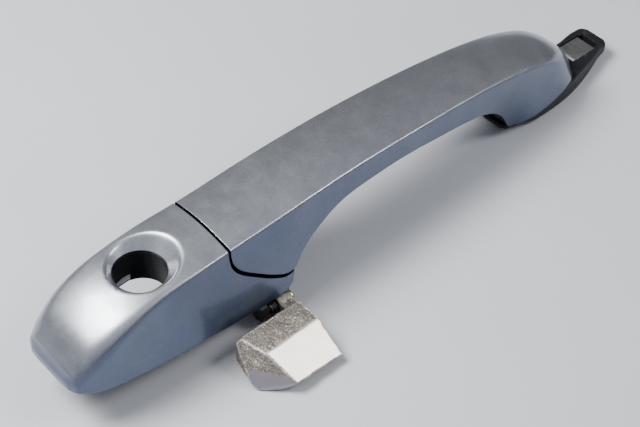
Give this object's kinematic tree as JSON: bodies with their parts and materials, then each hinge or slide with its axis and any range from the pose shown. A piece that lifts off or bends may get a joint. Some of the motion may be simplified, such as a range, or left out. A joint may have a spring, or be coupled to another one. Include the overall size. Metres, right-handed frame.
{
  "type": "car door handle",
  "caption": "Exterior car door pull handle: fixed end cap with an open lock recess, hinged arched grip with a hook arm, and a cast counterweight on a crank under the cap",
  "frame": {"origin": "on the door plane, at the seam between cap and grip, midway across the handle; it is the middle of the underside of the carrier's seat bar", "axes": "+X along the handle from the cap to the hook arm, +Z outward from the door, -Y the side the counterweight stands on"},
  "size_m": [0.2691, 0.0705, 0.0469],
  "materials": {
    "paint": "metallic clear-coated silver-blue, satin gloss",
    "black_nylon": "moulded black, fine grain",
    "soft_black": "matt black",
    "cast_zinc": "rough as-cast skin with one smooth bright face",
    "plate_metal": "fine brushed",
    "plated_steel": "bright plated",
    "yellow_plated": "yellow passivated"
  },
  "bodies": {
    "cap": {"cap_shell": "paint", "lock_sleeve": "black_nylon", "sleeve_seal": "soft_black", "cap_gasket": "soft_black", "cap_carrier": "black_nylon", "cap_clip": "plated_steel", "crank_pin": "yellow_plated", "crank_spring": "plated_steel", "sleeve_screw_1": "plated_steel", "sleeve_screw_2": "plated_steel", "carrier_screw_1": "plated_steel", "carrier_screw_2": "plated_steel"},
    "grip": {"grip_shell": "paint", "grip_liner": "paint", "grip_core": "black_nylon", "pivot_arm": "black_nylon", "wear_plate": "plate_metal", "foot_pad": "soft_black", "pull_leg": "cast_zinc", "tail_bumper_near": "soft_black", "tail_bumper_far": "soft_black", "leg_screw_1": "plated_steel", "leg_screw_2": "plated_steel", "arm_screw_1": "plated_steel", "arm_screw_2": "plated_steel", "liner_screw_1": "plated_steel", "liner_screw_2": "plated_steel"},
    "crank": {"crank_lever": "cast_zinc", "crank_bush": "black_nylon", "counterweight": "cast_zinc", "weight_rivet": "plated_steel"}
  },
  "joints": [
    {"name": "grip_pull", "type": "hinge", "parent": "cap", "child": "grip", "pos_m": [0.2, 0, -0.001], "axis": [0, 1, 0], "range_deg": [0, 6.5]},
    {"name": "crank_swing", "type": "hinge", "parent": "cap", "child": "crank", "pos_m": [0.019, -0.0195, -0.0055], "axis": [1, 0, 0], "range_deg": [0, 52]}
  ],
  "couplings": [
    {"joint": "crank_swing", "follows": "grip_pull", "ratio": 8}
  ]
}
